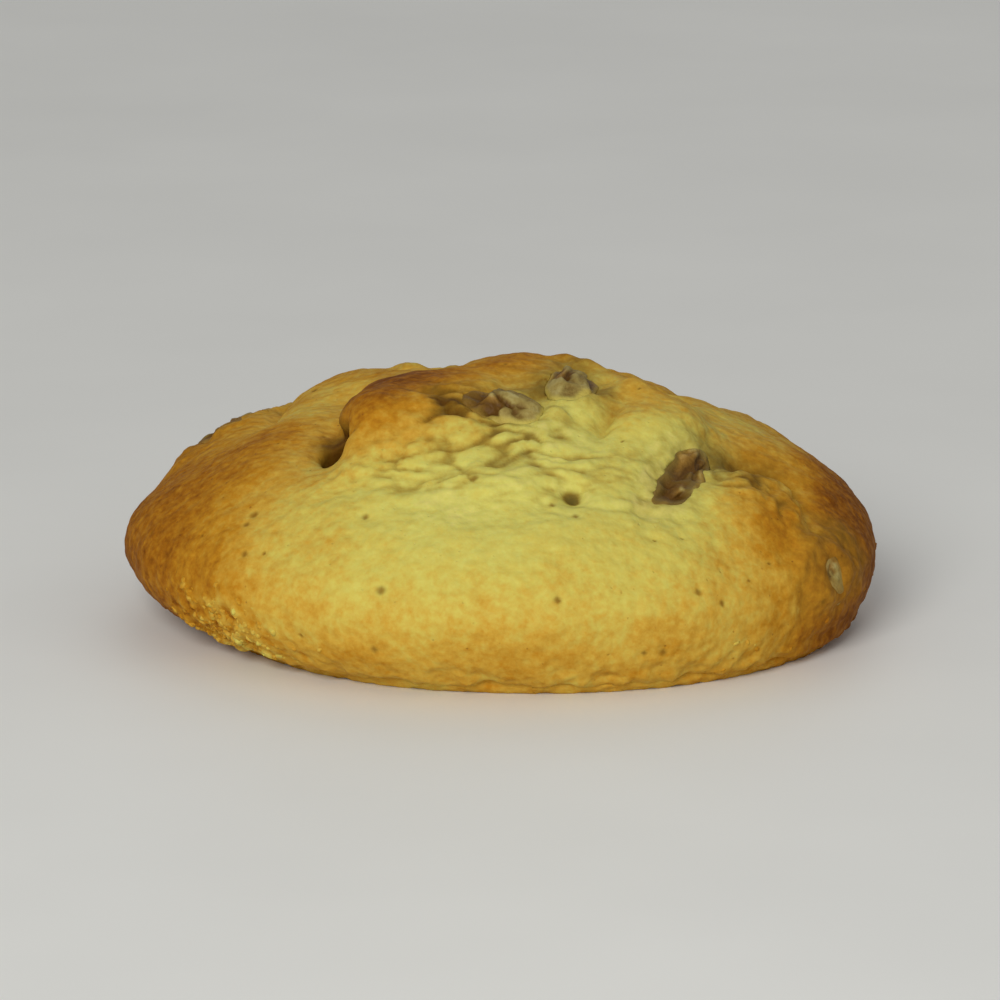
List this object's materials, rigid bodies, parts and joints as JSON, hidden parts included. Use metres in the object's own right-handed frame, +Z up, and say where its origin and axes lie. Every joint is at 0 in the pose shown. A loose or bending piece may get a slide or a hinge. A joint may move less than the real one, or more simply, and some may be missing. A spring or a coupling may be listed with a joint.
{
  "type": "raisin cookie",
  "caption": "Plump round drop cookie of pale golden dough with raisins baked in: a low lumpy dome with a browned rim over a flat, slightly hollow foot.",
  "frame": {"origin": "under the middle of the cookie's plan, on the plane of the flat foot it rests on", "axes": "+Z up through the dome, +X along the longest side, -Y towards the side that the picture shows"},
  "size_m": [0.0504, 0.0478, 0.0176],
  "materials": {
    "baked_dough": "matt baked crust, pale yellow on top and browned at the rim and foot",
    "raisin_skin": "wrinkled dark brown skin with a soft sheen"
  },
  "bodies": {
    "root": {"dough": "baked_dough", "raisin_front": "raisin_skin", "raisin_top": "raisin_skin", "raisin_crest": "raisin_skin", "raisin_right": "raisin_skin", "raisin_back_left": "raisin_skin", "raisin_back": "raisin_skin", "raisin_back_right": "raisin_skin", "raisin_under": "raisin_skin"}
  },
  "joints": []
}
